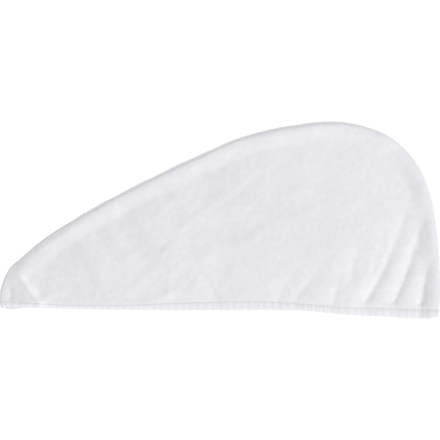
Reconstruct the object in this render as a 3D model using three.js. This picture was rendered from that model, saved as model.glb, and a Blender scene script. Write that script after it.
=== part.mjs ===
// A hair turban towel laid flat. Two plush panels are sewn together along their curved edge, with the sewn
// edge turned to the inside, and an elasticated band binds the mouth that the head goes into. The wide end
// is the crown and nape, and the narrow end is the tail that the wet hair is twisted in. X runs from the
// tail to the nape, Y from the mouth to the top of the crown, and Z up from the surface under it. Lengths
// are in millimetres, and the origin is under the middle of the towel.
import * as THREE from "three";

// Driving sizes.
const towelLength = 600; // tip of the tail to the end of the nape
const towelHeight = 268; // lowest point of the mouth's edge to the top of the crown
const clothThickness = 2.8; // a knitted ground with plush pile on both faces
const pieceGap = 0.3; // clearance between two sewn pieces

const seamAllowance = 8; // width of the sewn edge that is turned to the inside
const seamAir = 2; // air between the turned-in edge and the lower panel
const upperRollReach = 6.4; // distance from the seam over which the upper panel rolls up to its full height
const lowerRollReach = 11.5; // distance over which the lower panel rolls up to the seam
const seamRidge = 3.6; // how much the turned-in edges lift the cloth over them
const ridgeFall = { from: 8, to: 34 }; // distances from the seam between which that ridge falls away

const crownLoft = 14; // air between the panels inside the crown
const tailLoft = 10.5; // air between the panels inside the tail
const mouthLoft = 10.5; // air between the two sides of the mouth
const mouthReach = 90; // distance over which the upper panel comes down to the mouth
const loftRise = { from: 0.05, to: 0.6 }; // shares of towelLength between which the loft grows to the crown's

const bandWidth = 13; // the folded elasticated band, from its stitch line to its edge
const bandThickness = 3.8;
const bandProud = 0.5; // how far the band stands out of the panel beside it
const ribPitch = 5.4; // the elastic's gathers along the band
const ribHeight = 0.6; // crest of a rib over the valley beside it

const foldDepth = 5; // the deepest gather at the nape
const foldWidth = 7; // distance from a fold's bottom over which it rises by two thirds
const foldSoftness = 3; // how round the bottom of a fold is
const foldFade = 16; // distance from the seam over which a fold grows to its depth

// The curved seam, from the mouth's corner at the tail, over the crown, to the mouth's corner at the nape.
// along is a share of towelLength, and up is a share of towelHeight.
const seamOutline = [
  { along: 0.0034, up: 0.061 },
  { along: 0.0, up: 0.107 },
  { along: 0.0057, up: 0.173 },
  { along: 0.0204, up: 0.249 },
  { along: 0.0475, up: 0.307 },
  { along: 0.1154, up: 0.431 },
  { along: 0.2285, up: 0.581 },
  { along: 0.3416, up: 0.713 },
  { along: 0.4548, up: 0.8325 },
  { along: 0.5452, up: 0.919 },
  { along: 0.6131, up: 0.961 },
  { along: 0.681, up: 0.986 },
  { along: 0.7489, up: 1.0 },
  { along: 0.8054, up: 0.987 },
  { along: 0.862, up: 0.947 },
  { along: 0.9072, up: 0.883 },
  { along: 0.9412, up: 0.7995 },
  { along: 0.9638, up: 0.708 },
  { along: 0.9796, up: 0.599 },
  { along: 0.991, up: 0.452 },
  { along: 0.9977, up: 0.284 },
  { along: 1.0, up: 0.117 },
  { along: 0.9966, up: 0.02 },
];

// The mouth. stitch is where the band's stitch line lies, as a share of towelHeight. The other columns are
// shares of bandWidth: show is how much of the band is seen from above, drop is how far its edge curls down
// below the stitch line, and peek is how much further out the edge of its lower side lies.
const mouthEdge = [
  { along: 0.0034, stitch: 0.0887, show: 0.54, drop: 0.0, peek: 0.25 },
  { along: 0.025, stitch: 0.0862, show: 0.58, drop: 0.1, peek: 0.4 },
  { along: 0.07, stitch: 0.0795, show: 0.5, drop: 0.22, peek: 0.1 },
  { along: 0.16, stitch: 0.0701, show: 0.45, drop: 0.25, peek: 0.0 },
  { along: 0.27, stitch: 0.0684, show: 0.52, drop: 0.22, peek: 0.0 },
  { along: 0.4, stitch: 0.0803, show: 0.8, drop: 0.15, peek: 0.0 },
  { along: 0.52, stitch: 0.0885, show: 0.97, drop: 0.08, peek: 0.0 },
  { along: 0.62, stitch: 0.088, show: 0.96, drop: 0.08, peek: 0.0 },
  { along: 0.7, stitch: 0.074, show: 0.76, drop: 0.1, peek: 0.0 },
  { along: 0.78, stitch: 0.0595, show: 0.84, drop: 0.1, peek: 0.0 },
  { along: 0.86, stitch: 0.057, show: 0.96, drop: 0.08, peek: 0.0 },
  { along: 0.935, stitch: 0.0495, show: 1.0, drop: 0.05, peek: 0.0 },
  { along: 0.975, stitch: 0.0475, show: 0.96, drop: 0.02, peek: 0.0 },
  { along: 0.996, stitch: 0.0465, show: 0.72, drop: 0.0, peek: 0.0 },
];

// Folds of the upper panel: each runs from its foot near the mouth through a bend to its head. Points are
// shares of towelLength and towelHeight, depth is a share of foldDepth and negative on a ridge, and width
// is a share of foldWidth.
const folds = [
  // gathers that the elastic pulls up from the mouth at the nape
  { foot: [0.9529, 0.0821], bend: [0.962, 0.1834], head: [0.971, 0.3252], depth: 0.8, width: 0.7 },
  { foot: [0.8941, 0.0922], bend: [0.9314, 0.2771], head: [0.9665, 0.5836], depth: 1.0, width: 1.0 },
  { foot: [0.8285, 0.0922], bend: [0.8907, 0.2948], head: [0.9326, 0.6596], depth: 0.9, width: 1.05 },
  { foot: [0.8466, 0.2442], bend: [0.8579, 0.3455], head: [0.8738, 0.4975], depth: 0.3, width: 0.9 },
  { foot: [0.7946, 0.2036], bend: [0.8014, 0.2948], head: [0.8172, 0.4265], depth: 0.35, width: 0.9 },
  { foot: [0.7561, 0.0871], bend: [0.7652, 0.1682], head: [0.7765, 0.2796], depth: 0.6, width: 0.85 },
  { foot: [0.6724, 0.0973], bend: [0.6882, 0.1581], head: [0.7403, 0.3151], depth: 0.5, width: 1.0 },
  { foot: [0.6317, 0.1023], bend: [0.6452, 0.1783], head: [0.6905, 0.305], depth: 0.3, width: 1.0 },
  // the pinched corner of the tail
  { foot: [0.0864, 0.0821], bend: [0.0661, 0.1732], head: [0.0344, 0.2695], depth: -0.9, width: 0.8 },
  { foot: [0.0231, 0.1125], bend: [0.0208, 0.153], head: [0.0276, 0.1986], depth: 0.45, width: 0.7 },
  // faint creases of the middle
  { foot: [0.4914, 0.0973], bend: [0.462, 0.2239], head: [0.4258, 0.3658], depth: 0.3, width: 0.8 },
  { foot: [0.5253, 0.4164], bend: [0.4824, 0.538], head: [0.4348, 0.6494], depth: 0.25, width: 0.8 },
  { foot: [0.4009, 0.1327], bend: [0.3919, 0.2138], head: [0.4054, 0.2847], depth: -0.2, width: 0.8 },
];

// Heights of the two faces of the seam above the surface that the towel lies on.
const lowerSeamHeight = 2 * clothThickness + seamAir;
const upperSeamHeight = lowerSeamHeight + pieceGap;

const smoothStep = THREE.MathUtils.smoothstep;
const lerp = THREE.MathUtils.lerp;

// The seam as a smooth curve in plan, and a fine polyline along it.
const curveSamples = 500;
function planPoint(along, up) {
  return new THREE.Vector2((along - 0.5) * towelLength, (up - 0.5) * towelHeight);
}
const seamCurve = new THREE.CatmullRomCurve3(
  seamOutline.map((row) => new THREE.Vector3(...planPoint(row.along, row.up), 0)),
  false,
  "centripetal",
);
const seamPoints = seamCurve.getSpacedPoints(curveSamples);

// The mouth's table, read smoothly at any place along the towel.
const mouthColumns = ["stitch", "show", "drop", "peek"];
const mouthCurve = new THREE.CubicInterpolant(
  mouthEdge.map((row) => (row.along - 0.5) * towelLength),
  mouthEdge.flatMap((row) => mouthColumns.map((column) => row[column])),
  mouthColumns.length,
);
const mouthValue = (column, x) => mouthCurve.evaluate(x)[mouthColumns.indexOf(column)];
const stitchLineY = (x) => planPoint(0, mouthValue("stitch", x)).y;
const edgeY = (x) => stitchLineY(x) - mouthValue("show", x) * bandWidth;
const lowerEdgeY = (x) => edgeY(x) - mouthValue("peek", x) * bandWidth;
const edgeDrop = (x) => mouthValue("drop", x) * bandWidth;

// Distance in plan from a point to the seam.
function seamDistance(x, y) {
  let least = Infinity;
  for (let i = 0; i < curveSamples; i += 1) {
    const a = seamPoints[i];
    const b = seamPoints[i + 1];
    const [ex, ey] = [b.x - a.x, b.y - a.y];
    const t = THREE.MathUtils.clamp(((x - a.x) * ex + (y - a.y) * ey) / (ex * ex + ey * ey), 0, 1);
    const [dx, dy] = [x - a.x - t * ex, y - a.y - t * ey];
    least = Math.min(least, dx * dx + dy * dy);
  }
  return Math.sqrt(least);
}

// Depth of the folds at a point in plan. Each fold is a creased channel along a bent line, and fades at its
// head.
const foldSteps = 10;
const foldLines = folds.map((fold) => {
  const [foot, bend, head] = [fold.foot, fold.bend, fold.head].map((p) => planPoint(...p));
  const line = new THREE.QuadraticBezierCurve(foot, bend, head).getPoints(foldSteps);
  return { line, depth: fold.depth * foldDepth, width: fold.width * foldWidth };
});
function foldRelief(x, y) {
  let relief = 0;
  for (const { line, depth, width } of foldLines) {
    let [least, share] = [Infinity, 0];
    for (let i = 0; i < foldSteps; i += 1) {
      const a = line[i];
      const [ex, ey] = [line[i + 1].x - a.x, line[i + 1].y - a.y];
      const t = THREE.MathUtils.clamp(((x - a.x) * ex + (y - a.y) * ey) / (ex * ex + ey * ey), 0, 1);
      const away = Math.hypot(x - a.x - t * ex, y - a.y - t * ey);
      if (away < least) [least, share] = [away, (i + t) / foldSteps];
    }
    const fromBottom = Math.hypot(least, foldSoftness) - foldSoftness;
    relief += depth * Math.exp(-fromBottom / width) * (1 - share ** 3);
  }
  return relief;
}

// Height of the upper panel's outer face. It rolls up from the seam on a round edge, passes over the
// turned-in edges, is lofted by the air inside, and comes down towards the mouth.
function airInside(x, y) {
  const share = x / towelLength + 0.5;
  const full = lerp(tailLoft, crownLoft, smoothStep(share, loftRise.from, loftRise.to));
  const mouth = Math.min(mouthLoft, full);
  return lerp(mouth, full, smoothStep(y - stitchLineY(x), -bandWidth, mouthReach));
}
function roundedRise(distance, rise, reach) {
  const left = 1 - Math.min(distance / reach, 1);
  return rise * Math.sqrt(1 - left * left);
}
function edgeRise(distance, rise) {
  const ridge = seamRidge * (1 - smoothStep(distance, ridgeFall.from, ridgeFall.to));
  return roundedRise(distance, rise + ridge, upperRollReach);
}
function upperHeight(x, y) {
  const distance = seamDistance(x, y);
  const rise = airInside(x, y) - seamAir - pieceGap;
  const folded = foldRelief(x, y) * smoothStep(distance, 0, foldFade);
  return upperSeamHeight + edgeRise(distance, rise) - folded;
}

// Direction from the upper panel's outer face into the cloth.
const slopeStep = 0.4;
function inwardDirection(x, y) {
  const gx = (upperHeight(x + slopeStep, y) - upperHeight(x - slopeStep, y)) / (2 * slopeStep);
  const gy = (upperHeight(x, y + slopeStep) - upperHeight(x, y - slopeStep)) / (2 * slopeStep);
  return new THREE.Vector3(gx, gy, -1).normalize();
}

// Where the seam crosses the stitch line of the band: the two shares of the seam's length, tail first.
const crossingSteps = 40;
function seamCrossing(low, high) {
  let [below, above] = [low, high];
  for (let i = 0; i < crossingSteps; i += 1) {
    const middle = (below + above) / 2;
    const p = seamCurve.getPointAt(middle);
    if (p.y < stitchLineY(p.x)) below = middle;
    else above = middle;
  }
  return above;
}
const tailCrossing = seamCrossing(0, 0.2);
const napeCrossing = seamCrossing(1, 0.8);
const tailEnd = seamCurve.getPointAt(tailCrossing);
const napeEnd = seamCurve.getPointAt(napeCrossing);

// A closed solid through sections that have the same number of points: a ring of them, or a run with two
// ends.
const samePlace = 1e-3;
function loft(sections, isRing) {
  const size = sections[0].length;
  const points = sections.flat();
  const triangles = [];
  function addTriangle(a, b, c) {
    const [p, q, r] = [points[a], points[b], points[c]];
    const collapsed = [p.distanceTo(q), q.distanceTo(r), r.distanceTo(p)].some((d) => d < samePlace);
    if (!collapsed) triangles.push(a, b, c);
  }
  const spans = isRing ? sections.length : sections.length - 1;
  for (let s = 0; s < spans; s += 1) {
    const [near, far] = [s * size, ((s + 1) % sections.length) * size];
    for (let i = 0; i < size; i += 1) {
      const j = (i + 1) % size;
      addTriangle(near + i, near + j, far + j);
      addTriangle(near + i, far + j, far + i);
    }
  }
  if (!isRing) {
    const last = points.length - size;
    endFaces(sections[0]).forEach(([a, b, c]) => addTriangle(a, c, b));
    endFaces(sections.at(-1)).forEach(([a, b, c]) => addTriangle(last + a, last + b, last + c));
  }
  const geometry = new THREE.BufferGeometry();
  geometry.setAttribute("position", new THREE.Float32BufferAttribute(points.flatMap((p) => p.toArray()), 3));
  geometry.setIndex(facingOut(points, triangles));
  geometry.computeVertexNormals();
  return geometry;
}

// Triangles that close the flat end of a run, in the sense of its points. Points in one place are used
// once.
function endFaces(section) {
  const kept = [];
  section.forEach((p, i) => {
    if (kept.every((k) => section[k].distanceTo(p) >= samePlace)) kept.push(i);
  });
  const flat = kept.map((k) => new THREE.Vector2(Math.abs(section[k].x), section[k].z));
  const faces = THREE.ShapeUtils.triangulateShape(flat, []).map((face) => face.map((i) => kept[i]));
  return THREE.ShapeUtils.isClockWise(flat) ? faces.map((face) => face.reverse()) : faces;
}

// The triangles, turned round if they enclose a negative volume.
function facingOut(points, triangles) {
  let volume = 0;
  for (let i = 0; i < triangles.length; i += 3) {
    const [a, b, c] = triangles.slice(i, i + 3).map((k) => points[k]);
    volume += a.dot(new THREE.Vector3().crossVectors(b, c));
  }
  if (volume > 0) return triangles;
  return triangles.map((_, i) => triangles[i % 3 === 0 ? i : i % 3 === 1 ? i + 1 : i - 1]);
}

// The columns that a panel is lofted through. Each starts on the seam, crosses the rolled edge at right
// angles, and runs on to the stitch line. The columns lie closer together at both ends of the towel, where
// they are level.
const endCrowding = 0.07;
const levelEnd = 0.03; // share of the columns over which they turn from level to square
function panelColumns(count, rollReach) {
  const columns = [];
  for (let i = 0; i <= count; i += 1) {
    const even = i / count;
    const share = even - endCrowding * Math.sin(2 * Math.PI * even);
    const along = lerp(tailCrossing, napeCrossing, share);
    const start = seamCurve.getPointAt(along);
    const tangent = seamCurve.getTangentAt(along);
    const square = new THREE.Vector2(tangent.y, -tangent.x);
    const level = new THREE.Vector2(share < 0.5 ? 1 : -1, 0);
    const turn = smoothStep(Math.min(share, 1 - share), 0, levelEnd);
    const inward = level.lerp(square, turn).normalize();
    const footX = lerp(tailEnd.x + rollReach, napeEnd.x - rollReach, share);
    const isEnd = i === 0 || i === count;
    const across = (distance) => {
      const x = start.x + inward.x * distance;
      const y = start.y + inward.y * distance;
      return new THREE.Vector2(x, isEnd ? stitchLineY(x) : y);
    };
    const top = across(rollReach);
    const foot = isEnd ? top : new THREE.Vector2(footX, stitchLineY(footX));
    columns.push({ isEnd, across, down: (share) => top.clone().lerp(foot, share) });
  }
  return columns;
}

// A point of the upper panel's outer face, and the point under it on its inner face. At the stitch line and
// at the two ends the cloth is cut square, so the inner point stays on the stitch line too.
function outerPoint(plan) {
  return new THREE.Vector3(plan.x, plan.y, upperHeight(plan.x, plan.y));
}
function innerPoint(plan, isCut) {
  const inward = inwardDirection(plan.x, plan.y);
  if (isCut) inward.setY(0).normalize();
  const point = outerPoint(plan).addScaledVector(inward, clothThickness);
  if (isCut) point.y = stitchLineY(point.x);
  return point;
}

// Upper panel, with the sewn edge turned in under its rolled edge.
const upperColumns = 104;
const upperRollStops = [0.08, 0.34, 0.8, 1.4, 2.5]; // distances from the seam, in roll reaches
const upperFieldStops = [0.04, 0.1, 0.19, 0.3, 0.42, 0.54, 0.66, 0.78, 0.9, 1]; // shares of the way on
const innerFieldStops = [9, 7, 5, 3, 1]; // which of them the inner face has too
const innerCorner = 1.35; // where the inner face meets the turned-in edge, in cloth thicknesses
function upperPanel() {
  const rollReach = upperRollStops.at(-1) * upperRollReach;
  const sections = panelColumns(upperColumns, rollReach).map(({ isEnd, across, down }) => {
    const roll = upperRollStops.map((stop) => across(stop * upperRollReach));
    const field = upperFieldStops.map((stop) => down(stop));
    const level = (distance, height) => {
      const plan = across(distance);
      return new THREE.Vector3(plan.x, plan.y, height);
    };
    return [
      level(0, upperSeamHeight),
      ...roll.map(outerPoint),
      ...field.map(outerPoint),
      ...innerFieldStops.map((i) => innerPoint(field[i], isEnd || upperFieldStops[i] === 1)),
      ...[3, 2, 1].map((i) => innerPoint(roll[i], isEnd)),
      level(innerCorner * clothThickness, upperSeamHeight + clothThickness),
      level(seamAllowance, upperSeamHeight + clothThickness),
      level(seamAllowance, upperSeamHeight),
    ];
  });
  return loft(sections, false);
}

// Lower panel. It lies flat, and rolls up to the seam round its edge.
const lowerColumns = 60;
const lowerRollTurns = [22.5, 45, 67.5, 90]; // degrees round the rolled edge, from the seam
function lowerPanel() {
  const reach = lowerRollReach;
  const onRoll = (turn, depth) => {
    const [s, c] = [Math.sin(turn), Math.cos(turn)];
    const square = new THREE.Vector2(lowerSeamHeight * c, reach * s).setLength(depth);
    return { distance: reach * (1 - c) + square.x, height: lowerSeamHeight * (1 - s) + square.y };
  };
  const turns = lowerRollTurns.map(THREE.MathUtils.degToRad);
  const sections = panelColumns(lowerColumns, reach).map(({ across, down }) => {
    const place = (plan, height) => new THREE.Vector3(plan.x, plan.y, height);
    const level = ({ distance, height }) => place(across(distance), height);
    return [
      level({ distance: 0, height: lowerSeamHeight }),
      ...turns.map((turn) => level(onRoll(turn, 0))),
      place(down(0.5), 0),
      place(down(1), 0),
      place(down(1), clothThickness),
      place(down(0.5), clothThickness),
      ...[3, 2].map((i) => level(onRoll(turns[i], clothThickness))),
      level({ distance: innerCorner * clothThickness, height: lowerSeamHeight - clothThickness }),
      level({ distance: seamAllowance, height: lowerSeamHeight - clothThickness }),
      level({ distance: seamAllowance, height: lowerSeamHeight }),
    ];
  });
  return loft(sections, false);
}

// Hem band: one closed loop round the mouth, over the upper panel's edge and back along the lower panel's.
// The elastic gathers its upper side into ribs, and the lower side is pressed flat.
const bandLowerStops = 36;
const bandFoldShare = 0.35; // how much of a fold is left at the band's edge
const ribStart = 0.5; // share of a rib's height that it has at the stitch line
const bandShoulder = 0.88; // share of the way to the band's edge at which it starts to round over
const shoulderFall = 0.15; // how far it has fallen there
function hemBand() {
  const upperReach = upperRollStops.at(-1) * upperRollReach;
  const edgeTail = planPoint(mouthEdge[0].along, 0).x;
  const edgeNape = planPoint(mouthEdge.at(-1).along, 0).x;
  const edgeX = (x) => lerp(edgeTail, edgeNape, (x - tailEnd.x) / (napeEnd.x - tailEnd.x));
  const fromEnd = (x) => Math.min(x - tailEnd.x, napeEnd.x - x);

  const upperStation = (x, rib = 0) => {
    const y = stitchLineY(x);
    const rise = airInside(x, y) - seamAir - pieceGap;
    const folded = foldRelief(x, y) * smoothStep(fromEnd(x), 0, foldFade);
    const height = edgeRise(fromEnd(x), rise) - folded;
    const edgeHeight = edgeRise(fromEnd(x), rise - edgeDrop(x)) - bandFoldShare * folded;
    return {
      stitch: new THREE.Vector3(x, y - pieceGap, upperSeamHeight + height),
      edge: new THREE.Vector3(edgeX(x), edgeY(edgeX(x)), upperSeamHeight + edgeHeight),
      rib,
    };
  };
  const lowerStation = (x) => {
    const height = lowerSeamHeight - roundedRise(fromEnd(x), lowerSeamHeight, lowerRollReach);
    return {
      stitch: new THREE.Vector3(x, stitchLineY(x) - pieceGap, height),
      edge: new THREE.Vector3(edgeX(x), lowerEdgeY(edgeX(x)), height),
      rib: 0,
    };
  };

  const upperOffsets = [0, ...upperRollStops.map((stop) => stop * upperRollReach)];
  const lowerOffsets = lowerRollTurns
    .map(THREE.MathUtils.degToRad)
    .map((turn) => lowerRollReach * (1 - Math.cos(turn)));
  const between = (count, reach) =>
    Array.from({ length: count - 1 }, (_, i) => (i + 1) / count).map((share) =>
      lerp(tailEnd.x + reach, napeEnd.x - reach, share),
    );
  const ribCount = Math.round((napeEnd.x - tailEnd.x - 2 * upperReach) / ribPitch);
  const ribbed = (x, i) => upperStation(x, i % 2 === 0 ? ribHeight / 2 : -ribHeight / 2);
  const stations = [
    ...upperOffsets.map((d) => upperStation(tailEnd.x + d)),
    ...between(2 * ribCount, upperReach).map(ribbed),
    ...upperOffsets.map((d) => upperStation(napeEnd.x - d)).reverse(),
    ...lowerOffsets.map((d) => lowerStation(napeEnd.x - d)),
    ...between(bandLowerStops, lowerRollReach).map(lowerStation).reverse(),
    ...lowerOffsets.map((d) => lowerStation(tailEnd.x + d)).reverse(),
  ];

  const sections = stations.map(({ stitch, edge, rib }, i) => {
    const before = stations[(i + stations.length - 1) % stations.length].stitch;
    const after = stations[(i + 1) % stations.length].stitch;
    const inward = new THREE.Vector3(after.z - before.z, 0, before.x - after.x).normalize();
    const proud = (bandProud * (1 - inward.z)) / 2;
    const at = (share, depth) => stitch.clone().lerp(edge, share).addScaledVector(inward, depth);
    const depthInside = bandThickness - bandProud;
    return [
      at(0, -proud - ribStart * rib),
      at(0.5, -proud - rib),
      at(bandShoulder, shoulderFall - proud - rib),
      at(1, depthInside / 2),
      at(bandShoulder, depthInside - shoulderFall + rib),
      at(0.5, depthInside + rib),
      at(0, depthInside + ribStart * rib),
    ];
  });
  return loft(sections, true);
}

// Finishes, and the towel.
const plush = new THREE.MeshStandardMaterial({ color: 0xeeeef2, roughness: 0.95, metalness: 0 });
const elastic = new THREE.MeshStandardMaterial({ color: 0xf0f0f3, roughness: 0.9, metalness: 0 });

const towel = new THREE.Group();
for (const [name, geometry, material] of [
  ["upper_panel", upperPanel(), plush],
  ["lower_panel", lowerPanel(), plush],
  ["hem_band", hemBand(), elastic],
]) {
  const piece = new THREE.Mesh(geometry, material);
  piece.name = name;
  towel.add(piece);
}

export default towel;
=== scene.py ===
import math
import bpy
import numpy as np
from mathutils import Matrix, Vector


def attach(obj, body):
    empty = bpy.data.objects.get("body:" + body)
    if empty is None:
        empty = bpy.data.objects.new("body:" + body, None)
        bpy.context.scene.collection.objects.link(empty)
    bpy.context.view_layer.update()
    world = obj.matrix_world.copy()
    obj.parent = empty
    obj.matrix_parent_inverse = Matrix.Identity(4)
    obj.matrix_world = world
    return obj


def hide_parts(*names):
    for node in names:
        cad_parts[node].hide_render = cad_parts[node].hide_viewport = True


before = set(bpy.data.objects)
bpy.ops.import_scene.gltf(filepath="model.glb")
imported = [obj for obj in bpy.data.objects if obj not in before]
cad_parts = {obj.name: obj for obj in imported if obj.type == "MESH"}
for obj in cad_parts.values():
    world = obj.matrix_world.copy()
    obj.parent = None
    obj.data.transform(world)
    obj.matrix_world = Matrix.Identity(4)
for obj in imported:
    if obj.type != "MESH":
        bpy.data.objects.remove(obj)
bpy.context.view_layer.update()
bpy.ops.object.select_all(action="DESELECT")

# Lower panel. The panel that faces down, one layer of knitted microfibre cloth with plush on both faces.
# It lies flat on the surface, and rolls up round its edge to the seam, where its cut edge is turned in.
# Lengths are in millimetres until a mesh is made.
towel_length = 600.0
towel_height = 268.0
cloth = 2.8  # thickness of the cloth, pile and all
seam_allowance = 8.0
lower_seam_height = 7.74
lower_reach = 11.5  # of the rolled edge, in from the seam

# The seam from the tail over the crown to the nape, in shares of the towel's length and height.
seam_outline = np.array([
    # along, up
    (0.0034, 0.061), (0.0, 0.107), (0.0057, 0.173), (0.0204, 0.249), (0.0475, 0.307), (0.1154, 0.431),
    (0.2285, 0.581), (0.3416, 0.713), (0.4548, 0.8325), (0.5452, 0.919), (0.6131, 0.961), (0.681, 0.986),
    (0.7489, 1.0), (0.8054, 0.987), (0.862, 0.947), (0.9072, 0.883), (0.9412, 0.7995), (0.9638, 0.708),
    (0.9796, 0.599), (0.991, 0.452), (0.9977, 0.284), (1.0, 0.117), (0.9966, 0.02),
])
# The mouth from the tail to the nape: the place along and the stitch line's height, in the same shares.
# Then, in shares of the band's width, how much of the band shows, how far its upper side sinks towards the
# edge, and how far its lower side shows past it.
mouth_columns = ["along", "stitch", "show", "drop", "peek"]
mouth_edge = np.array([
    (0.0034, 0.0887, 0.54, 0.0, 0.2), (0.025, 0.0862, 0.58, 0.1, 0.22), (0.07, 0.0795, 0.5, 0.22, 0.04),
    (0.16, 0.0701, 0.45, 0.25, 0.0), (0.27, 0.0684, 0.52, 0.22, 0.0), (0.4, 0.0803, 0.8, 0.15, 0.0),
    (0.52, 0.0885, 0.97, 0.08, 0.0), (0.62, 0.088, 0.96, 0.08, 0.0), (0.7, 0.074, 0.76, 0.1, 0.0),
    (0.78, 0.0595, 0.84, 0.1, 0.0), (0.86, 0.057, 0.96, 0.08, 0.0), (0.935, 0.0495, 1.0, 0.05, 0.0),
    (0.975, 0.0475, 0.96, 0.02, 0.0), (0.996, 0.0465, 0.72, 0.0, 0.0),
])


def in_plan(shares):
    """Places seen from above, in millimetres from the towel's middle, from shares of its sides."""
    return (np.asarray(shares, float) - 0.5) * (towel_length, towel_height)


def smooth_line(knots, spans=60):
    """Points along a centripetal Catmull-Rom curve through the knots."""
    run = np.vstack([2 * knots[0] - knots[1], knots, 2 * knots[-1] - knots[-2]])
    line = []
    for p in zip(run, run[1:], run[2:], run[3:]):
        t = np.cumsum([0, *(np.linalg.norm(b - a) ** 0.5 for a, b in zip(p, p[1:]))])
        u = np.linspace(t[1], t[2], spans, endpoint=False)[:, None]
        q = [((t[k + 1] - u) * p[k] + (u - t[k]) * p[k + 1]) / (t[k + 1] - t[k]) for k in range(3)]
        r = [((t[k + 2] - u) * q[k] + (u - t[k]) * q[k + 1]) / (t[k + 2] - t[k]) for k in range(2)]
        line.append(((t[2] - u) * r[0] + (u - t[1]) * r[1]) / (t[2] - t[1]))
    return np.vstack([*line, knots[-1:]])


seam_line = smooth_line(in_plan(seam_outline))
seam_run = np.concatenate([[0], np.cumsum(np.linalg.norm(np.diff(seam_line, axis=0), axis=1))])


def seam_point(share):
    """The place at a share of the seam's length."""
    at = np.asarray(share) * seam_run[-1]
    return np.stack([np.interp(at, seam_run, seam_line[:, k]) for k in range(2)], axis=-1)


def mouth(column, x):
    """One column of the mouth's table, read smoothly at any place along the towel."""
    t = (mouth_edge[:, 0] - 0.5) * towel_length
    v = mouth_edge[:, mouth_columns.index(column)]
    last = len(t) - 2
    i = np.clip(np.searchsorted(t, x, side="right") - 1, 0, last)
    before, after = np.where(i > 0, i - 1, i + 1), np.where(i < last, np.minimum(i + 2, last + 1), i)
    weight_before = (t[i + 1] - t[i]) / 2 / (t[i] - t[before])
    weight_after = (t[i + 1] - t[i]) / 2 / (t[after] - t[i + 1])
    p = np.clip((x - t[i]) / (t[i + 1] - t[i]), 0, 1)
    return (
        (-p**3 + 2 * p**2 - p) * weight_before * v[before]
        + ((1 + weight_before) * p**3 - (1.5 + 2 * weight_before) * p**2 + (weight_before - 0.5) * p + 1)
        * v[i]
        + (-(1 + weight_after) * p**3 + (1.5 + weight_after) * p**2 + 0.5 * p) * v[i + 1]
        + (p**3 - p**2) * weight_after * v[after]
    )


def stitch_line(x):
    return (mouth("stitch", x) - 0.5) * towel_height


def smooth_step(x, low, high):
    """Rises smoothly from 0 at low to 1 at high."""
    s = np.clip((x - low) / (high - low), 0, 1)
    return s * s * (3 - 2 * s)


def crossing(low, high):
    """Share of the seam's length at which it meets the stitch line."""
    for _ in range(40):
        middle = (low + high) / 2
        x, y = seam_point(middle)
        low, high = (middle, high) if y < stitch_line(x) else (low, middle)
    return high


tail_share, nape_share = crossing(0, 0.2), crossing(1, 0.8)
tail_end, nape_end = seam_point(tail_share), seam_point(nape_share)


noise_reach = (400, 300)  # how far the noise goes from the towel's middle, along and up
noise_spare = 20


def soft_noise(x, y, size, seed):
    """Smooth noise from -1 to 1 over the plan, whose lumps are about size apart."""
    u, v = (x + noise_reach[0]) / size, (y + noise_reach[1]) / size
    columns, rows = (int((2 * reach + noise_spare) / size) + 3 for reach in noise_reach)
    grid = np.random.default_rng(seed).uniform(-1, 1, (rows, columns))
    i, j = np.floor(u).astype(int), np.floor(v).astype(int)
    s, t = smooth_step(u - i, 0, 1), smooth_step(v - j, 0, 1)
    low = grid[j, i] * (1 - s) + grid[j, i + 1] * s
    high = grid[j + 1, i] * (1 - s) + grid[j + 1, i + 1] * s
    return low * (1 - t) + high * t


end_crowding = 0.07  # how strongly the columns crowd towards the two ends
end_turn = 0.03  # share of the columns, at each end, over which they turn level


def panel_grid(columns, reach, roll, field):
    """Plan points of a panel's columns: over the rolled edge, square to the seam, and on to the stitch line.
    roll holds distances from the seam, and field shares of the rest of the way."""
    even = np.linspace(0, 1, columns + 1)
    share = even - end_crowding * np.sin(2 * np.pi * even)
    along = tail_share + (nape_share - tail_share) * share
    start = seam_point(along)
    step = seam_point(np.minimum(along + 1e-4, 1)) - seam_point(along - 1e-4)
    square = np.stack([step[:, 1], -step[:, 0]], axis=1) / np.linalg.norm(step, axis=1)[:, None]
    level = np.stack([np.where(share < 0.5, 1.0, -1.0), np.zeros(columns + 1)], axis=1)
    turn = smooth_step(np.minimum(share, 1 - share), 0, end_turn)[:, None]
    inward = level * (1 - turn) + square * turn
    inward /= np.linalg.norm(inward, axis=1)[:, None]

    def across(distances):
        plan = start[:, None] + inward[:, None] * np.asarray(distances, float)[None, :, None]
        for end in (0, -1):
            plan[end, :, 1] = stitch_line(plan[end, :, 0])
        return plan

    top = across([reach])
    foot_x = (tail_end[0] + reach) * (1 - share) + (nape_end[0] - reach) * share
    foot = np.stack([foot_x, stitch_line(foot_x)], axis=1)[:, None]
    foot[[0, -1]] = top[[0, -1]]
    ways = np.asarray(field, float)[None, :, None]
    return across(roll), top * (1 - ways) + foot * ways, across


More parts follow.
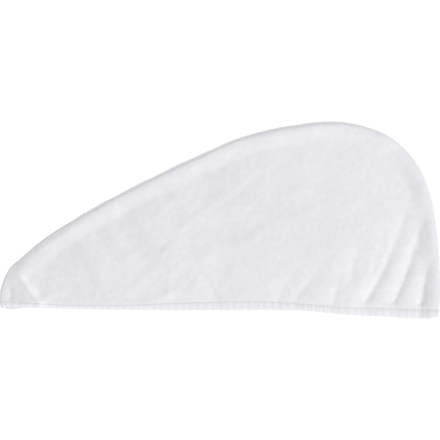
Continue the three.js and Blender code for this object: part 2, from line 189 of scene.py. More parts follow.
def closed_cloth(name, rings):
    """A mesh in metres through rings of points, one ring to a column, closed by a cap at each end."""
    columns, size = rings.shape[:2]
    near = np.arange((columns - 1) * size).reshape(-1, size)
    nxt = np.roll(near, -1, axis=1)
    faces = np.stack([near, nxt, nxt + size, near + size], axis=-1).reshape(-1, 4)
    mesh = bpy.data.meshes.new(name)
    mesh.from_pydata((rings.reshape(-1, 3) * 0.001).tolist(), [], faces.tolist())
    piece = bpy.data.objects.new(name, mesh)
    bpy.context.collection.objects.link(piece)
    bpy.ops.object.select_all(action="DESELECT")
    piece.select_set(True)
    bpy.context.view_layer.objects.active = piece
    bpy.ops.object.mode_set(mode="EDIT")
    bpy.ops.mesh.select_all(action="SELECT")
    bpy.ops.mesh.remove_doubles(threshold=2e-6)
    bpy.ops.mesh.dissolve_degenerate(threshold=1e-6)
    bpy.ops.mesh.select_all(action="DESELECT")
    bpy.ops.mesh.select_mode(type="EDGE")
    bpy.ops.mesh.select_non_manifold(extend=False, use_wire=False, use_multi_face=False,
                                     use_non_contiguous=False, use_verts=False)
    bpy.ops.mesh.edge_face_add()
    bpy.ops.mesh.select_all(action="SELECT")
    bpy.ops.mesh.quads_convert_to_tris()
    bpy.ops.mesh.normals_make_consistent(inside=False)
    bpy.ops.object.mode_set(mode="OBJECT")
    bpy.ops.object.shade_smooth_by_angle(angle=math.radians(60))
    return piece


def grid_normals(points):
    """Unit normals of a grid of points, facing up, with those of a collapsed column from its neighbour."""
    normals = np.cross(np.gradient(points, axis=1), np.gradient(points, axis=0))
    length = np.linalg.norm(normals, axis=2)
    for end, beside in ((0, 1), (-1, -2)):
        flat = length[end] < 1e-6
        normals[end, flat] = normals[beside, flat]
    normals /= np.maximum(np.linalg.norm(normals, axis=2), 1e-9)[..., None]
    return normals * np.sign(normals[..., 2].mean())


def lift(plan, height):
    """Gives the points of a plan their height."""
    return np.concatenate([plan, np.broadcast_to(height, plan.shape[:2])[..., None]], axis=2)


# The seam is not dead straight, its stitches draw it in between the two rolled edges, more at some than
# at others, and the rolls swell and sink a little along it.
seam_wander, seam_draw, draw_height = 0.5, 0.9, 1.2
roll_lumps = 0.9


def seam_wave(x, y):
    return seam_wander * (0.6 * soft_noise(x, y, 13, 5) + 0.4 * soft_noise(x, y, 31, 6))


def drawn_in(rows, seam_height, plan_rows, roll_height):
    """Moves the rows of a rolled edge inwards at the seam, and in and out in lumps above and below it."""
    way = plan_rows[:, -1] - plan_rows[:, 0]
    way /= np.linalg.norm(way, axis=1)[:, None]
    x, y = plan_rows[:, 0, 0], plan_rows[:, 0, 1]
    strength = seam_draw * (1 + 0.45 * soft_noise(x, y, 5.5, 7) + 0.25 * soft_noise(x, y, 19, 8))
    lumps = 0.4 * soft_noise(x, y, 9, 9) + 0.35 * soft_noise(x, y, 19, 10) + 0.35 * soft_noise(x, y, 43, 12)
    off_seam = np.abs(rows[..., 2] - seam_height)
    near = np.exp(-off_seam / draw_height)  # 1 at the seam, and little past draw_height
    swell = roll_lumps * lumps[:, None] * (1 - near)
    swell *= 1 - smooth_step(off_seam, 0.4 * roll_height, roll_height)
    rows[..., :2] += way[:, None] * (strength[:, None] * near - swell)[..., None]


lower_columns = 300
lower_turns = np.radians([0, 2.5, 6, 11, 18, 27, 38, 50, 63, 76, 90])
roll_plan, field_plan, across = panel_grid(
    lower_columns, lower_reach, lower_reach * (1 - np.cos(lower_turns)), np.linspace(0, 1, 40)[1:]
)
roll_out = lift(roll_plan, lower_seam_height * (1 - np.sin(lower_turns)))
slope = np.stack([lower_seam_height * np.cos(lower_turns), lower_reach * np.sin(lower_turns)], axis=1)
slope *= cloth / np.linalg.norm(slope, axis=1)[:, None]
first_inner = 4  # the inner wall's roll ends at this turn, below the turned-in edge
roll_in_turns, roll_in_slope = lower_turns[first_inner:], slope[first_inner:]
roll_in = lift(
    across(lower_reach * (1 - np.cos(roll_in_turns)) + roll_in_slope[:, 0]),
    lower_seam_height * (1 - np.sin(roll_in_turns)) + roll_in_slope[:, 1],
)
inner_corner = 1.35 * cloth  # how far in from the seam the inner wall meets the turned-in edge
turned_in = np.concatenate([
    lift(across([inner_corner]), lower_seam_height - cloth),
    lift(across([seam_allowance]), lower_seam_height - cloth),
    lift(across([seam_allowance]), lower_seam_height),
], axis=1)
inner_field = lift(field_plan[:, ::-2], cloth)
pile_in = 0.25 * soft_noise(inner_field[..., 0], inner_field[..., 1], 4.1, 11)
inner_field[:, 1:, 2] += pile_in[:, 1:]
drawn_in(roll_out, lower_seam_height, roll_plan, lower_seam_height)
roll_out[:, 0, 2] += seam_wave(roll_plan[:, 0, 0], roll_plan[:, 0, 1])
lower_rings = np.concatenate(
    [roll_out, lift(field_plan, 0.0), inner_field, roll_in[:, ::-1], turned_in], axis=1
)
lower_panel = closed_cloth("lower_panel_cloth", lower_rings)
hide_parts("lower_panel")
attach(lower_panel, "root")

# Upper panel. The panel that faces up, cut as the lower one and lofted by the air inside. The elastic
# draws it into long gathers at the nape, the tail's corner is pinched, and its seam is turned to the inside.
piece_gap = 0.3
upper_seam_height = 7.76
upper_reach = 16.0  # distance from the seam over which the columns run square to it
seam_ridge = 3.6  # how much higher the cloth stands over the turned-in edge
ridge_fall = (9, 30)  # distances from the seam between which that ridge falls away
seam_air = 2.0  # air between the turned-in edge and the lower panel
crown_loft, tail_loft, mouth_loft = 14.0, 10.5, 10.5  # air between the panels
loft_rise = (0.05, 0.6)  # shares of the length between which the tail's loft grows to the crown's
tip_loft = 0.68  # share of the loft that is left at the very tip of the tail
band_width = 13.0
mouth_reach = 90.0  # from the stitch line up to where the full loft is reached
middle_roll, nape_roll, tail_roll, tail_slope = 5.5, 2.8, 3.4, 12.0
tail_slope_share = 0.22  # share of the tail's rise that is in the slope, and not in the roll
fold_depth, fold_width, fold_softness = 4.4, 7.0, 3.0
fold_fade = 16.0  # distance from the seam over which a fold grows to its depth

# Places along the towel between which one form gives way to another.
tip_end = (-296, -262)
ridge_end = (-295, -245)
slope_end = (-298, -270)
tail_to_middle = (-230, -165)
middle_to_nape = (160, 270)

folds = [
    # foot, bend, head, share of fold_depth, of fold_width and of fold_softness; ridges have minus depths
    ((0.9529, 0.0821), (0.962, 0.1834), (0.971, 0.3252), 0.8, 0.7, 1.0),
    ((0.8941, 0.0922), (0.9314, 0.2771), (0.9665, 0.5836), 1.0, 1.0, 1.0),
    ((0.8285, 0.0922), (0.8907, 0.2948), (0.9326, 0.6596), 0.9, 1.05, 1.0),
    ((0.8466, 0.2442), (0.8579, 0.3455), (0.8738, 0.4975), 0.3, 0.9, 1.0),
    ((0.7946, 0.2036), (0.8014, 0.2948), (0.8172, 0.4265), 0.35, 0.9, 1.0),
    ((0.7561, 0.0871), (0.7652, 0.1682), (0.7765, 0.2796), 0.5, 0.85, 1.0),
    ((0.6724, 0.0973), (0.6882, 0.1581), (0.7403, 0.3151), 0.38, 1.0, 1.0),
    ((0.6317, 0.1023), (0.6452, 0.1783), (0.6905, 0.305), 0.3, 1.0, 1.0),
    ((0.091, 0.0821), (0.066, 0.15), (0.0365, 0.245), -0.95, 0.62, 0.8),
    ((0.0694, 0.0821), (0.0502, 0.1525), (0.0374, 0.2135), -0.5, 0.9, 2.4),
    ((0.0251, 0.1125), (0.0228, 0.153), (0.0296, 0.1986), 0.65, 0.6, 1.0),
    ((0.4914, 0.0973), (0.462, 0.2239), (0.4258, 0.3658), 0.24, 0.5, 1.0),
    ((0.5253, 0.4164), (0.4824, 0.538), (0.4348, 0.6494), 0.25, 0.8, 1.0),
    ((0.3835, 0.1327), (0.3812, 0.2138), (0.3948, 0.2847), -0.2, 0.6, 1.0),
]


def seam_distance(x, y):
    """Distance in plan from each point to the seam."""
    line = seam_point(np.linspace(0, 1, 401))
    a, e = line[:-1], np.diff(line, axis=0)
    flat = np.stack([x.ravel(), y.ravel()], axis=1)
    out = np.empty(len(flat))
    for i in range(0, len(flat), 4000):
        p = flat[i : i + 4000, None] - a
        t = np.clip((p * e).sum(2) / (e * e).sum(1), 0, 1)
        out[i : i + 4000] = np.sqrt((((p - t[..., None] * e) ** 2).sum(2)).min(1))
    return out.reshape(x.shape)


fold_steps = 12


def fold_relief(x, y):
    """How deep the folds lie at each point, each fold a curve that fades out at its head."""
    relief = np.zeros_like(x)
    for *points, depth, width, softness in folds:
        foot, bend, head = in_plan(points)
        t = np.linspace(0, 1, fold_steps + 1)[:, None]
        line = (1 - t) ** 2 * foot + 2 * t * (1 - t) * bend + t * t * head
        least, share = np.full(x.shape, np.inf), np.zeros_like(x)
        for i in range(fold_steps):
            a, e = line[i], line[i + 1] - line[i]
            s = np.clip(((x - a[0]) * e[0] + (y - a[1]) * e[1]) / (e @ e), 0, 1)
            away = np.hypot(x - a[0] - s * e[0], y - a[1] - s * e[1])
            share = np.where(away < least, (i + s) / fold_steps, share)
            least = np.minimum(least, away)
        from_bottom = np.hypot(least, fold_softness * softness) - fold_softness * softness
        relief += fold_depth * depth * np.exp(-from_bottom / (fold_width * width)) * (1 - share**2)
    return relief


def air_inside(x, y):
    """The loft of the cloth at each point, lower at the tip and along the mouth."""
    full = tail_loft + (crown_loft - tail_loft) * smooth_step(x / towel_length + 0.5, *loft_rise)
    low = np.minimum(mouth_loft, full)
    tip = tip_loft + (1 - tip_loft) * smooth_step(x, *tip_end)
    return tip * (low + (full - low) * smooth_step(y - stitch_line(x), -band_width, mouth_reach))


def rounded_rise(distance, rise, reach):
    """Rises as a quarter of an ellipse over its reach."""
    return rise * np.sqrt(1 - (1 - np.minimum(distance / reach, 1)) ** 2)


# The edge rolls over tightly, tightest where the elastic holds it at the nape. Along the tail, where less
# cloth lies over the seam, a roll is followed by a long slope.
def edge_rise(x, distance, rise):
    ridge = seam_ridge * (0.65 + 0.35 * smooth_step(x, *ridge_end)) * (1 - smooth_step(distance, *ridge_fall))
    roll = middle_roll + (nape_roll - middle_roll) * smooth_step(x, *middle_to_nape)
    rolled = rounded_rise(distance, rise + ridge, roll)
    run = np.minimum(distance / tail_slope, 1)
    slope_rise = tail_slope_share * smooth_step(x, *slope_end) * (rise + ridge)
    sloping = rounded_rise(distance, rise + ridge - slope_rise, tail_roll)
    sloping += slope_rise * run * (1.5 - 0.5 * run**2)
    tail = 1 - smooth_step(x, *tail_to_middle)
    return rolled * (1 - tail) + sloping * tail


# Where the elastic gathers the cloth, it stands in small round puckers, whose strength changes along the
# mouth in hills.
gather_pitch, gather_unevenness = 4.9, 1.1
pucker_height = 0.38
gather_hills = [
    # middle, width, height
    (137, 30, 0.9), (272, 24, 1.0), (205, 45, 0.55), (-30, 90, 0.45), (-230, 60, 0.5),
]


def gather_phase(x):
    """The number of puckers from the tail to each place."""
    steps = np.arange(-310, 311, 1.0)
    pitch = gather_pitch + gather_unevenness * soft_noise(steps, steps * 0, 17, 21)
    return np.interp(x, steps, np.cumsum(1 / pitch))


def hills(x, table):
    """Smooth hills along the towel, each a row with its middle, width and height."""
    return sum(height * np.exp(-(((x - middle) / width) ** 2)) for middle, width, height in table)


def gather_strength(x):
    return np.clip(0.14 + 0.8 * hills(x, gather_hills), 0, 1) * (1 + 0.7 * soft_noise(x, x * 0, 9, 22))


def gathers(x):
    return np.abs(np.sin(np.pi * gather_phase(x))) ** 0.7 * gather_strength(x)


# The stitches pull a shallow groove, deepest under the crown and near the nape.
groove_width = 2.6
least_pull = 0.42
pull_hills = [
    # middle, width, height
    (97, 45, 0.4), (240, 45, 0.35),
]


def stitch_pull(x):
    return least_pull + hills(x, pull_hills)


# Slack cloth lies in faint creases that run one way, here down towards the nape or up towards the crown.
def creases(x, y, degrees, length, width, seed):
    c, s = math.cos(math.radians(degrees)), math.sin(math.radians(degrees))
    along, across = x * c + y * s, y * c - x * s
    wander = 0.35 * width * soft_noise(x, y, length / 2, seed + 50)
    return soft_noise(along * 10 / length, (across + wander) * 10 / width, 10, seed)


upper_columns = 500
roll_stops = np.array([0, 0.002, 0.01, 0.03, 0.08, 0.18, 0.33, 0.6, 1, 1.6, 2.5, 3.7, 5.3, 7.3, 10, 13, 16])
roll_plan, field_plan, across = panel_grid(upper_columns, upper_reach, roll_stops, np.linspace(0, 1, 124)[1:])
plan = np.concatenate([roll_plan, field_plan], axis=1)
x, y = plan[..., 0], plan[..., 1]
distance = seam_distance(x, y)
rise = air_inside(x, y) - seam_air - piece_gap
height = upper_seam_height + edge_rise(x, distance, rise)
height -= fold_relief(x, y) * smooth_step(distance, 0, fold_fade)
smooth_out = lift(plan, height)
facing = grid_normals(smooth_out)
facing[:, 0] = facing[:, 1]

# Small forms over the smooth cloth: puckers above the stitch line, the groove that the stitches pull, the
# turned-in edge felt through the cloth, low waves where the cloth is slack, and the lumps of the pile.
above = y - stitch_line(x)
pucker_reach = 5 + 5 * (0.5 + 0.5 * soft_noise(x, y * 0, 7, 23))
felt_edge_height, felt_edge_at, felt_edge_width = 0.55, 9.5, 4.2
felt_edge = felt_edge_height * np.exp(-(((distance - felt_edge_at) / felt_edge_width) ** 2))
small = felt_edge * (0.7 + 0.5 * soft_noise(x, y, 27, 24))
lumps = [
    # height, size, seed
    (0.4, 34, 25), (0.2, 17, 26), (0.16, 8.5, 27), (0.09, 4.3, 28),
]
for lump_height, lump_size, seed in lumps:
    small += lump_height * soft_noise(x, y, lump_size, seed)
slack = 0.35 + 0.65 * smooth_step(-x, -110, 60)
patches = 0.6 + 0.6 * soft_noise(x, y, 70, 34)
over_nape = smooth_step(x, 60, 170) * smooth_step(-y, -60, 60)
crease_sets = [
    # height, where they lie, degrees, length, width, seed
    (1.2, slack * patches, -58, 60, 15, 31),
    (0.8, slack * (1.2 - patches), 38, 42, 12, 32),
    (0.4, over_nape, 66, 90, 15, 33),
]
for crease_height, lying, degrees, length, width, seed in crease_sets:
    small += crease_height * lying * creases(x, y, degrees, length, width, seed)
small *= smooth_step(above, 0, 10)
small += pucker_height * (gathers(x) - 0.5) * np.exp(-above / pucker_reach)
small -= stitch_pull(x) * np.exp(-((above / groove_width) ** 2))
small *= 0.35 + 0.65 * smooth_step(distance, 0, 7)
small[[0, -1]] = small[[1, -2]]
outer = smooth_out + facing * small[..., None]
outer[:, 0] = smooth_out[:, 0]
rolled_rows, upper_roll_height = 10, 9.0
drawn_in(outer[:, :rolled_rows], upper_seam_height, roll_plan, upper_roll_height)
outer[:, 0, 2] += seam_wave(roll_plan[:, 0, 0], roll_plan[:, 0, 1])

# The inner wall follows every fourth row of the outer one, from the stitch line back to the turned-in edge.
last_row = plan.shape[1] - 1
inner_steps = np.concatenate([[last_row], np.arange(last_row - 3, 18, -4), [14, 12, 10]])
into = -facing[:, inner_steps]
into[[0, -1], :, 1] = 0
into[:, 0, 1] = 0
into /= np.linalg.norm(into, axis=2)[..., None]
inner = smooth_out[:, inner_steps] + cloth * into
inner[:, 0, 1] = stitch_line(inner[:, 0, 0])
for end in (0, -1):
    inner[end, :, 1] = stitch_line(inner[end, :, 0])
turned_in = np.concatenate([
    lift(across([inner_corner]), upper_seam_height + cloth),
    lift(across([seam_allowance]), upper_seam_height + cloth),
    lift(across([seam_allowance]), upper_seam_height),
], axis=1)
upper_panel = closed_cloth("upper_panel_cloth", np.concatenate([outer, inner, turned_in], axis=1))
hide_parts("upper_panel")
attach(upper_panel, "root")


# Microfibre plush: a knitted polyester ground with a short dense pile brushed into soft clumps. It is a
# matt chalky white, and painted shade makes it darker and a little cooler in the gaps between the clumps.
# It brightens slightly where it turns away. Along the crest of the pinched corner a painted highlight
# makes it whiter.
def linear(hex_colour):
    parts = [int(hex_colour[i : i + 2], 16) / 255 for i in (0, 2, 4)]
    return [c / 12.92 if c <= 0.04045 else ((c + 0.055) / 1.055) ** 2.4 for c in parts] + [1.0]


def add_node(tree, kind, settings=(), **links):
    """A node with its settings, and its inputs given as values or as other nodes' outputs."""
    made = tree.nodes.new(kind)
    for name, value in dict(settings).items():
        setattr(made, name, value)
    for name, value in links.items():
        socket = made.inputs[int(name[1:])] if name[0] == "_" else made.inputs[name.replace("_", " ")]
        if isinstance(value, bpy.types.NodeSocket):
            tree.links.new(value, socket)
        else:
            socket.default_value = value
    return made


def new_material(name):
    material = bpy.data.materials.new(name)
    material.use_nodes = True
    tree = material.node_tree
    tree.nodes.clear()
    return material, tree


clump_mm = 3.4  # from one clump of pile to the next
fibre_mm = 1.3  # bunches of fibres; single ones are far finer, so they are drawn this coarse to show
cloud_mm = 500 / 22  # from one slightly darker patch to the next
# The painted highlight along the crest has a whiter core and a border that lie this far from the crest's
# middle, and the clumps make the border ragged.
crest_highlight_core, crest_highlight_border, crest_highlight_ragged, crest_highlight_strength = 0.0055, 0.0135, 0.012, 0.45
plush, tree = new_material("knitted_microfibre_plush")
where = add_node(tree, "ShaderNodeTexCoord").outputs["Object"]
clumps = add_node(tree, "ShaderNodeTexNoise", Vector=where, Scale=1000 / clump_mm / 2, Detail=2.0,
                  Roughness=0.55, Distortion=0.4).outputs["Fac"]
fibres = add_node(tree, "ShaderNodeTexNoise", Vector=where, Scale=1000 / fibre_mm / 2, Detail=3.0,
                  Roughness=0.6).outputs["Fac"]
slow = add_node(tree, "ShaderNodeTexNoise", Vector=where, Scale=1000 / cloud_mm / 2,
                Detail=2.0).outputs["Fac"]
pile = add_node(tree, "ShaderNodeMath", {"operation": "MULTIPLY_ADD"}, _0=fibres, _1=0.4, _2=clumps)
depth = add_node(tree, "ShaderNodeMapRange", _0=pile.outputs[0], _1=0.45, _2=0.95, _3=0.0, _4=1.0).outputs[0]
# Painted shade: darker and a little cooler where the pile is low, in the gaps between the clumps.
tint = add_node(tree, "ShaderNodeMix", {"data_type": "RGBA"}, _0=depth, _6=linear("e3e2e7"),
                _7=linear("e9e8eb")).outputs[2]
cloudy = add_node(tree, "ShaderNodeMapRange", _0=slow, _1=0.35, _2=0.65, _3=0.0, _4=1.0).outputs[0]
tone = add_node(tree, "ShaderNodeMix", {"data_type": "RGBA", "blend_type": "MULTIPLY"}, _0=cloudy, _6=tint,
                _7=linear("fbfbfc")).outputs[2]
crest_foot, crest_head = in_plan([(0.0955, 0.0922), (0.0515, 0.228)]) * 0.001
crest_length = float(np.linalg.norm(crest_head - crest_foot))
crest_way = (crest_head - crest_foot) / crest_length
from_foot = add_node(tree, "ShaderNodeVectorMath", {"operation": "SUBTRACT"}, _0=where,
                     _1=(*crest_foot, 0)).outputs[0]
up_crest = add_node(tree, "ShaderNodeVectorMath", {"operation": "DOT_PRODUCT"}, _0=from_foot,
                    _1=(*crest_way, 0)).outputs["Value"]
off_crest = add_node(tree, "ShaderNodeVectorMath", {"operation": "DOT_PRODUCT"}, _0=from_foot,
                     _1=(crest_way[1], -crest_way[0], 0)).outputs["Value"]
off_crest = add_node(tree, "ShaderNodeMath", {"operation": "ABSOLUTE"}, _0=off_crest).outputs[0]
off_crest = add_node(tree, "ShaderNodeMath", {"operation": "MULTIPLY_ADD"}, _0=clumps, _1=crest_highlight_ragged,
                     _2=off_crest).outputs[0]
beside = add_node(tree, "ShaderNodeMapRange", {"interpolation_type": "SMOOTHSTEP"}, _0=off_crest,
                  _1=crest_highlight_core, _2=crest_highlight_border, _3=1.0, _4=0.0).outputs[0]
beyond = add_node(tree, "ShaderNodeMath", {"operation": "SUBTRACT"}, _0=up_crest, _1=crest_length / 2)
beyond = add_node(tree, "ShaderNodeMath", {"operation": "ABSOLUTE"}, _0=beyond.outputs[0]).outputs[0]
within = add_node(tree, "ShaderNodeMapRange", {"interpolation_type": "SMOOTHSTEP"}, _0=beyond,
                  _1=0.3 * crest_length, _2=0.68 * crest_length, _3=crest_highlight_strength,
                  _4=0.0).outputs[0]
# Painted highlight: a whiter strip along the crest of the pinched corner, mixed into the cloth's colour.
painted_crest_highlight = add_node(tree, "ShaderNodeMath", {"operation": "MULTIPLY"}, _0=beside, _1=within).outputs[0]
tone = add_node(tree, "ShaderNodeMix", {"data_type": "RGBA"}, _0=painted_crest_highlight, _6=tone,
                _7=linear("f7f7fa")).outputs[2]
rough = add_node(tree, "ShaderNodeMapRange", _0=depth, _1=0.0, _2=1.0, _3=1.0, _4=0.86).outputs[0]
raised = add_node(tree, "ShaderNodeBump", Strength=0.4, Distance=0.0005, Height=pile.outputs[0]).outputs[0]
shader = add_node(tree, "ShaderNodeBsdfPrincipled", Base_Color=tone, Roughness=rough, Normal=raised, IOR=1.5,
                  Specular_IOR_Level=0.2, Sheen_Weight=0.45, Sheen_Roughness=0.5)
add_node(tree, "ShaderNodeOutputMaterial", Surface=shader.outputs[0])
for panel in (lower_panel, upper_panel):
    panel.data.materials.append(plush)

# Hem band. A strip of the same cloth folded over an elastic and stitched round the mouth as one closed
# loop. At rest the elastic pulls it into small upright gathers. Its lower side is pressed flat.
band_thickness = 3.8
band_proud = 0.5  # how far the band stands above the panel
sewn_gap = 0.04  # the band is sewn tight against the panels
tail_x = (mouth_edge[0, 0] - 0.5) * towel_length
nape_x = (mouth_edge[-1, 0] - 0.5) * towel_length


def edge_x(x):
    """The place along the band's outer edge that belongs to a place along the stitch line."""
    return tail_x + (nape_x - tail_x) * (x - tail_end[0]) / (nape_end[0] - tail_end[0])


def edge_y(x):
    return stitch_line(x) - mouth("show", x) * band_width


def upper_side(x):
    y = stitch_line(x)
    from_end = np.minimum(x - tail_end[0], nape_end[0] - x)
    rise = air_inside(x, y) - seam_air - piece_gap
    folded = fold_relief(x, y) * smooth_step(from_end, 0, fold_fade)
    level = upper_seam_height + edge_rise(x, from_end, rise) - folded
    drop = mouth("drop", x) * band_width
    edge_level = upper_seam_height + edge_rise(x, from_end, rise - drop) - 0.35 * folded
    return (np.stack([x, y - sewn_gap, level], axis=1),
            np.stack([edge_x(x), edge_y(edge_x(x)), edge_level], axis=1))


def lower_side(x):
    from_end = np.minimum(x - tail_end[0], nape_end[0] - x)
    level = lower_seam_height - rounded_rise(from_end, lower_seam_height, lower_reach)
    out = edge_y(edge_x(x)) - mouth("peek", edge_x(x)) * band_width
    return np.stack([x, stitch_line(x) - sewn_gap, level], axis=1), np.stack([edge_x(x), out, level], axis=1)


over_columns = 720
upper_x = np.linspace(tail_end[0] + upper_reach, nape_end[0] - upper_reach, over_columns)
turn_up = roll_stops[:-1]
turn_down = lower_reach * (1 - np.cos(lower_turns[1:]))
lower_x = np.linspace(nape_end[0] - lower_reach, tail_end[0] + lower_reach, lower_columns)[1:-1]
over_x = np.concatenate([tail_end[0] + turn_up, upper_x, nape_end[0] - turn_up[::-1]])
under_x = np.concatenate([nape_end[0] - turn_down, lower_x, tail_end[0] + turn_down[::-1]])
stitches, edges = (np.concatenate(pair) for pair in zip(upper_side(over_x), lower_side(under_x)))
turning = np.roll(stitches, -1, axis=0) - np.roll(stitches, 1, axis=0)
inward = np.stack([turning[:, 2], 0 * turning[:, 0], -turning[:, 0]], axis=1)
inward /= np.linalg.norm(inward, axis=1)[:, None]
on_top = (1 - inward[:, 2]) / 2
gathered = gathers(stitches[:, 0]) * on_top**4

# Across the band, from the stitch line over its outer face, round the folded edge and back inside. The
# stitches sink in on the lower side too.
under_groove = 0.45
inner_rib_height = 0.3
pillow_height = 0.35
face = np.array([0, 0.05, 0.12, 0.22, 0.34, 0.46, 0.58, 0.7, 0.8])  # shares of the way out to the edge
steps = len(face)
bend = np.radians(np.linspace(0, 180, steps))
shares = np.concatenate([face, 0.86 + 0.14 * np.sin(bend), face[::-1]])
lid = np.concatenate([np.full(steps, -1.0), -np.cos(bend), np.full(steps, 1.0)])
outside = np.concatenate([np.ones(steps), np.clip(np.cos(bend), 0, 1), np.zeros(steps)])
bend_and_back = np.zeros(2 * steps)
groove = np.concatenate([[1.0, 0.88, 0.66, 0.38, 0.15, 0.04, 0, 0, 0], bend_and_back])
pillow = np.concatenate([4 * face * (1 - face), bend_and_back])
proud = np.concatenate([[0.0, 0.12, 0.32, 0.62, 0.88, 1.0, 1.0, 1.0, 1.0], bend_and_back + 1])
base = band_proud * on_top[:, None] * -outside * proud / 2
depth_across = (band_thickness - band_proud) * (lid + 1) / 2
relief = outside * (pucker_height * (gathered[:, None] - 0.5 * on_top[:, None])) + pillow_height * pillow
relief = relief - stitch_pull(stitches[:, :1]) * groove * on_top[:, None]
inner_ribs = np.concatenate([bend_and_back, np.full(steps, inner_rib_height)]) * gathered[:, None]
depth_in = base + depth_across - relief * on_top[:, None] - inner_ribs
depth_in += under_groove * groove * (1 - on_top[:, None])
ring = stitches[:, None] + (edges - stitches)[:, None] * shares[None, :, None]
ring = ring + inward[:, None] * depth_in[..., None]
ring = np.concatenate([ring, ring[:1]])
hem_band = closed_cloth("hem_band_cloth", ring)
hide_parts("hem_band")
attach(hem_band, "root")

# Gathered band cloth: the same plush, pulled tight over knitted elastic, so that its pile lies flatter and
# fine knitted ribs show along it. It is the same white, with painted shade that makes it darker and a
# little cooler between the ribs.
rib_mm = 1.6
band_cloth, tree = new_material("gathered_knit_over_elastic")
where = add_node(tree, "ShaderNodeTexCoord").outputs["Object"]
fibres = add_node(tree, "ShaderNodeTexNoise", Vector=where, Scale=1000 / fibre_mm / 2, Detail=3.0,
                  Roughness=0.6).outputs["Fac"]
ribs = add_node(tree, "ShaderNodeTexWave", {"wave_type": "BANDS", "bands_direction": "X"}, Vector=where,
                Scale=1000 / rib_mm / 20, Distortion=3.0, Detail=2.0, Detail_Scale=1.5).outputs["Fac"]
knit = add_node(tree, "ShaderNodeMath", {"operation": "MULTIPLY_ADD"}, _0=ribs, _1=0.35, _2=fibres).outputs[0]
depth = add_node(tree, "ShaderNodeMapRange", _0=knit, _1=0.4, _2=0.9, _3=0.0, _4=1.0).outputs[0]
# Painted shade: darker and cooler between the ribs, where the knit lies low.
tint = add_node(tree, "ShaderNodeMix", {"data_type": "RGBA"}, _0=depth, _6=linear("e1e0e6"),
                _7=linear("e9e8ec")).outputs[2]
rough = add_node(tree, "ShaderNodeMapRange", _0=depth, _1=0.0, _2=1.0, _3=0.98, _4=0.82).outputs[0]
raised = add_node(tree, "ShaderNodeBump", Strength=0.45, Distance=0.0005, Height=knit).outputs[0]
shader = add_node(tree, "ShaderNodeBsdfPrincipled", Base_Color=tint, Roughness=rough, Normal=raised, IOR=1.5,
                  Specular_IOR_Level=0.25, Sheen_Weight=0.2, Sheen_Roughness=0.5)
add_node(tree, "ShaderNodeOutputMaterial", Surface=shader.outputs[0])
hem_band.data.materials.append(band_cloth)

# Hem stitches. The row of lockstitches that fixes the band to the panels, in spun polyester thread. Each
# is drawn into the cloth at both ends. One is modelled, and copied along the upper and the lower side.
stitch_length, stitch_pitch, thread = 2.3, 3.0, 0.5
thread_spread, thread_flatness = 1.15, 0.8  # its width and height in the stitch, in shares of the thread
stitch_end = 0.0007  # from the middle of a stitch, in metres, to where it starts to sink in
end_sink, above_cloth, under_cloth = 0.22, 0.12, -0.4  # in shares of the thread
over_bare, under_bare = 9, 8  # columns at each end of the mouth that have no stitches
bpy.ops.object.select_all(action="DESELECT")
bpy.ops.mesh.primitive_uv_sphere_add(segments=6, ring_count=6, radius=0.5 * thread * 0.001)
first_stitch = bpy.context.object
first_stitch.name = "hem_stitches"
bpy.ops.object.mode_set(mode="EDIT")
bpy.ops.transform.rotate(value=math.radians(90), orient_axis="Y", center_override=(0, 0, 0))
bpy.ops.transform.resize(value=(stitch_length / thread, thread_spread, thread_flatness),
                         center_override=(0, 0, 0))
bpy.ops.mesh.select_all(action="DESELECT")
bpy.ops.object.mode_set(mode="OBJECT")
for v in first_stitch.data.vertices:
    v.select = abs(v.co.x) > stitch_end
bpy.ops.object.mode_set(mode="EDIT")
bpy.ops.transform.translate(value=(0, 0, -end_sink * thread * 0.001))
bpy.ops.object.mode_set(mode="OBJECT")
bpy.ops.object.shade_smooth()
row = (ring[:-1, 1] + ring[:-1, 2]) / 2
copies = []
upper_row = slice(over_bare, len(over_x) - over_bare)
lower_row = slice(len(over_x) + under_bare, len(row) - under_bare)
for side in (upper_row, lower_row):
    line, out_of = row[side], -inward[side]
    run = np.concatenate([[0], np.cumsum(np.linalg.norm(np.diff(line, axis=0), axis=1))])
    for at in np.arange(stitch_pitch, run[-1] - stitch_pitch, stitch_pitch):
        place, ahead, normal = (
            Vector([np.interp(s, run, data[:, k]) for k in range(3)])
            for s, data in ((at, line), (at + 1, line), (at, out_of))
        )
        along = (ahead - place).normalized()
        sideways = normal.cross(along).normalized()
        normal = along.cross(sideways)
        stitch = first_stitch.copy()
        stitch.data = first_stitch.data.copy()
        raised = thread * (above_cloth if normal.z > 0 else under_cloth)
        stitch.matrix_world = Matrix.Translation((place + normal * raised) * 0.001) @ Matrix(
            (along, sideways, normal)
        ).transposed().to_4x4()
        bpy.context.collection.objects.link(stitch)
        copies.append(stitch)
bpy.data.objects.remove(first_stitch)
bpy.ops.object.select_all(action="DESELECT")
for stitch in copies:
    stitch.select_set(True)
bpy.context.view_layer.objects.active = copies[0]
bpy.ops.object.join()
hem_stitches = bpy.context.object
hem_stitches.name = "hem_stitches"
bpy.ops.object.transform_apply(location=True, rotation=True, scale=True)
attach(hem_stitches, "root")

# Spun polyester sewing thread: two plies twisted together, which gives it a fine slanting rib and a soft
# gleam. It is the same white as the cloth, with painted shade that makes it darker in the grooves between
# the plies.
ply_mm = 0.5
sewing_thread, tree = new_material("spun_polyester_thread")
where = add_node(tree, "ShaderNodeTexCoord").outputs["Object"]
plies = add_node(tree, "ShaderNodeTexWave", {"wave_type": "BANDS", "bands_direction": "DIAGONAL"},
                 Vector=where, Scale=1000 / ply_mm / 20, Distortion=0.6).outputs["Fac"]
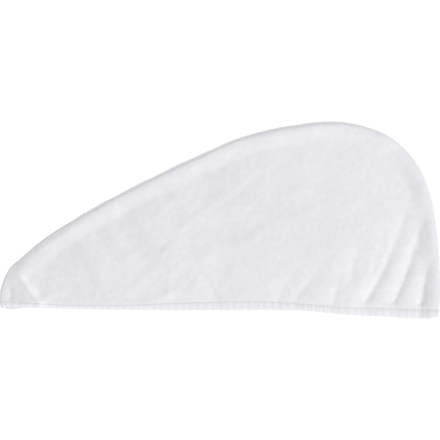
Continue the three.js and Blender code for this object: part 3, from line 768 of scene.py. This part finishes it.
# Painted shade: darker in the grooves between the plies.
tint = add_node(tree, "ShaderNodeMix", {"data_type": "RGBA"}, _0=plies, _6=linear("d0cfd7"),
                _7=linear("dddce2")).outputs[2]
raised = add_node(tree, "ShaderNodeBump", Strength=0.5, Distance=0.0001, Height=plies).outputs[0]
shader = add_node(tree, "ShaderNodeBsdfPrincipled", Base_Color=tint, Roughness=0.6, Normal=raised, IOR=1.5,
                  Specular_IOR_Level=0.4, Sheen_Weight=0.1)
add_node(tree, "ShaderNodeOutputMaterial", Surface=shader.outputs[0])
hem_stitches.data.materials.append(sewing_thread)

# Ground, light and camera. A white paper ground lit from beneath as well, so that it stays white, a soft
# even light all round, and a large soft light from the nape's side of the mouth. The camera looks straight
# down on the towel as the photograph does, from far off.
paper_glow, even_strength = 0.9, 0.708
soft_box_power, soft_box_size = 117, 2.2
soft_box_place = Vector((1.7, -1.2, 1.65)) * 1.8
photo_pixels, towel_pixels = 440, 442  # the towel runs a pixel past the picture on each side
outline_height = 0.008  # of the seam, where the outline that the camera sees lies
camera_aside = -0.0004
bpy.ops.mesh.primitive_plane_add(size=6, location=(0, 0, -0.0002))
ground = bpy.context.object
ground.name = "ground"
paper, tree = new_material("white_paper_ground")
where = add_node(tree, "ShaderNodeTexCoord").outputs["Object"]
grain = add_node(tree, "ShaderNodeTexNoise", Vector=where, Scale=900.0, Detail=2.0).outputs["Fac"]
raised = add_node(tree, "ShaderNodeBump", Strength=0.1, Distance=0.0001, Height=grain).outputs[0]
shader = add_node(tree, "ShaderNodeBsdfPrincipled", Base_Color=linear("8a8a8a"), Roughness=0.95,
                  Specular_IOR_Level=0.0, Emission_Color=linear("ffffff"), Emission_Strength=paper_glow,
                  Normal=raised)
add_node(tree, "ShaderNodeOutputMaterial", Surface=shader.outputs[0])
ground.data.materials.append(paper)

world = bpy.data.worlds.new("even_light")
bpy.context.scene.world = world
world.use_nodes = True
world.node_tree.nodes["Background"].inputs["Color"].default_value = (1, 1, 1, 1)
world.node_tree.nodes["Background"].inputs["Strength"].default_value = even_strength

soft_box = bpy.data.lights.new("soft_box", "AREA")
soft_box.shape = "DISK"
soft_box.size = soft_box_size
soft_box.energy = soft_box_power
soft_box_holder = bpy.data.objects.new("soft_box", soft_box)
bpy.context.collection.objects.link(soft_box_holder)
soft_box_holder.location = soft_box_place
soft_box_holder.rotation_euler = (-soft_box_place).to_track_quat("-Z", "Y").to_euler()

camera = bpy.data.cameras.new("camera")
camera.lens = 200
camera.sensor_width = 36
seen_width = photo_pixels / towel_pixels * towel_length * 0.001
camera_holder = bpy.data.objects.new("camera", camera)
camera_height = outline_height + seen_width * camera.lens / camera.sensor_width
camera_holder.location = (camera_aside, 0.0, camera_height)
bpy.context.collection.objects.link(camera_holder)
bpy.context.scene.camera = camera_holder
camera.clip_end = 20
bpy.context.scene.view_settings.view_transform = "Standard"
bpy.context.scene.view_settings.look = "None"
